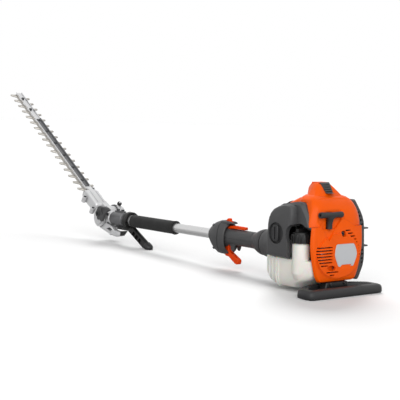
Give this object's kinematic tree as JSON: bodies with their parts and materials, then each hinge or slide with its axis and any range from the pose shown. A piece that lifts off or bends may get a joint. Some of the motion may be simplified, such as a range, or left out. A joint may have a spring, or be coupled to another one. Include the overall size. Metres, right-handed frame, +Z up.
{
  "type": "pole hedge trimmer",
  "caption": "Petrol hedge trimmer: engine with ground foot, straight shaft with two grips and a long two-edged cutter bar on a tilting gear head.",
  "frame": {"origin": "middle of the foot's underside, on the ground", "axes": "+X from the engine towards the cutter, +Y to the left, +Z up; the shaft line dips 1.24 degrees towards the cutter"},
  "size_m": [1.5278, 0.225, 0.4156],
  "materials": {
    "bolt_steel": "zinc-plated steel",
    "dark_collar": "dark grey coated metal",
    "cast_alloy": "fine-blasted die casting",
    "bright_steel": "bright rolled steel",
    "blade_steel": "ground knife steel",
    "orange_shell": "glossy moulded orange plastic",
    "dark_shell": "fine-grained dark grey plastic",
    "black_plastic": "satin black plastic",
    "rubber": "moulded rubber",
    "tank_plastic": "translucent white plastic",
    "control_orange": "satin red-orange plastic",
    "aluminium_tube": "bare drawn tube",
    "grip_foam": "soft matt grip sleeve",
    "label_grey": "plain grey plate"
  },
  "bodies": {
    "machine": {"starter_cover": "orange_shell", "top_cover": "orange_shell", "hump_insert": "dark_shell", "fan_housing": "black_plastic", "crankcase": "cast_alloy", "cylinder": "cast_alloy", "spark_plug_boot": "rubber", "muffler_guard": "dark_shell", "muffler": "bolt_steel", "filter_cover": "dark_shell", "fuel_tank": "tank_plastic", "foot": "dark_shell", "foot_bracket": "black_plastic", "clutch_housing": "dark_shell", "damper_ring": "rubber", "clutch_cone": "dark_shell", "grip_upper": "dark_shell", "grip_lower": "dark_shell", "guard_rear": "dark_shell", "guard_front": "dark_shell", "drive_tube": "aluminium_tube", "front_grip": "grip_foam", "adjust_handle": "black_plastic", "leg_cap": "dark_shell", "collar": "dark_collar", "collar_screw_1": "bolt_steel", "collar_screw_2": "bolt_steel", "gear_housing": "cast_alloy", "lower_bracket": "cast_alloy", "bracket_cap": "black_plastic", "lever_screw": "bolt_steel", "label_plate": "label_grey"},
    "crank": {"flywheel": "cast_alloy", "drive_shaft": "bolt_steel"},
    "starter": {"starter_handle": "dark_shell", "starter_rope": "grip_foam"},
    "filter_knob": {"filter_knob": "dark_shell"},
    "fuel_cap": {"fuel_cap": "black_plastic"},
    "trigger": {"throttle_trigger": "control_orange"},
    "trigger_lock": {"throttle_lock": "control_orange"},
    "stop_switch": {"stop_switch": "control_orange"},
    "plunger": {"index_plunger": "bright_steel", "plunger_knob": "black_plastic"},
    "head_lever": {"lock_lever": "dark_shell"},
    "cutter": {"pivot_pin": "bolt_steel", "index_plate": "dark_collar", "cutter_gearcase": "cast_alloy", "case_cover": "cast_alloy", "guide_bar": "bright_steel", "bar_bolt_1": "bolt_steel", "bar_bolt_2": "bolt_steel", "bar_bolt_3": "bolt_steel", "bar_bolt_4": "bolt_steel", "bar_bolt_5": "bolt_steel", "bar_bolt_6": "bolt_steel", "bar_bolt_7": "bolt_steel", "bar_bolt_8": "bolt_steel"},
    "upper_knife": {"upper_knife": "blade_steel"},
    "lower_knife": {"lower_knife": "blade_steel"}
  },
  "joints": [
    {"name": "crank_spin", "type": "hinge", "parent": "machine", "child": "crank", "pos_m": [0.0438, 0, 0.08307], "axis": [0.9998, 0, -0.0216], "continuous": true},
    {"name": "starter_pull", "type": "slide", "parent": "machine", "child": "starter", "axis": [0.0216, 0, 0.9998], "range_m": [0, 0.013], "stiffness_N_per_m": 60, "springref_m": -0.12},
    {"name": "filter_knob_turn", "type": "hinge", "parent": "machine", "child": "filter_knob", "pos_m": [0.08962, 0.09, 0.12009], "axis": [0, 1, 0], "range_deg": [0, 90]},
    {"name": "fuel_cap_turn", "type": "hinge", "parent": "machine", "child": "fuel_cap", "pos_m": [0.03546, 0.0675, 0.11326], "axis": [0.0216, 0, 0.9998], "range_deg": [0, 120]},
    {"name": "throttle", "type": "hinge", "parent": "machine", "child": "trigger", "pos_m": [0.35436, 0, 0.05936], "axis": [0, 1, 0], "range_deg": [0, 14], "stiffness_Nm_per_rad": 0.5, "springref_deg": -8.59},
    {"name": "throttle_lock_press", "type": "hinge", "parent": "machine", "child": "trigger_lock", "pos_m": [0.35159, 0, 0.09282], "axis": [0, -1, 0], "range_deg": [0, 3.4], "stiffness_Nm_per_rad": 1, "springref_deg": -5.73},
    {"name": "stop_switch_slide", "type": "slide", "parent": "machine", "child": "stop_switch", "axis": [0.9998, 0, -0.0216], "range_m": [0, 0.004]},
    {"name": "index_pull", "type": "slide", "parent": "machine", "child": "plunger", "axis": [-0.5557, 0, 0.8314], "range_m": [0, 0.005], "stiffness_N_per_m": 900, "springref_m": -0.004},
    {"name": "head_lever_lift", "type": "hinge", "parent": "machine", "child": "head_lever", "pos_m": [0.90186, 0.03, 0.07653], "axis": [0, 1, 0], "range_deg": [0, 20], "stiffness_Nm_per_rad": 0.6, "springref_deg": -11.46},
    {"name": "cutter_tilt", "type": "hinge", "parent": "machine", "child": "cutter", "pos_m": [0.9136, 0, 0.06427], "axis": [0, -1, 0], "range_deg": [-90, 60]},
    {"name": "upper_knife_stroke", "type": "slide", "parent": "cutter", "child": "upper_knife", "axis": [0.8593, 0, 0.5115], "range_m": [-0.008, 0.008]},
    {"name": "lower_knife_stroke", "type": "slide", "parent": "cutter", "child": "lower_knife", "axis": [0.8593, 0, 0.5115], "range_m": [-0.008, 0.008]}
  ],
  "couplings": [
    {"joint": "lower_knife_stroke", "follows": "upper_knife_stroke", "ratio": -1}
  ]
}
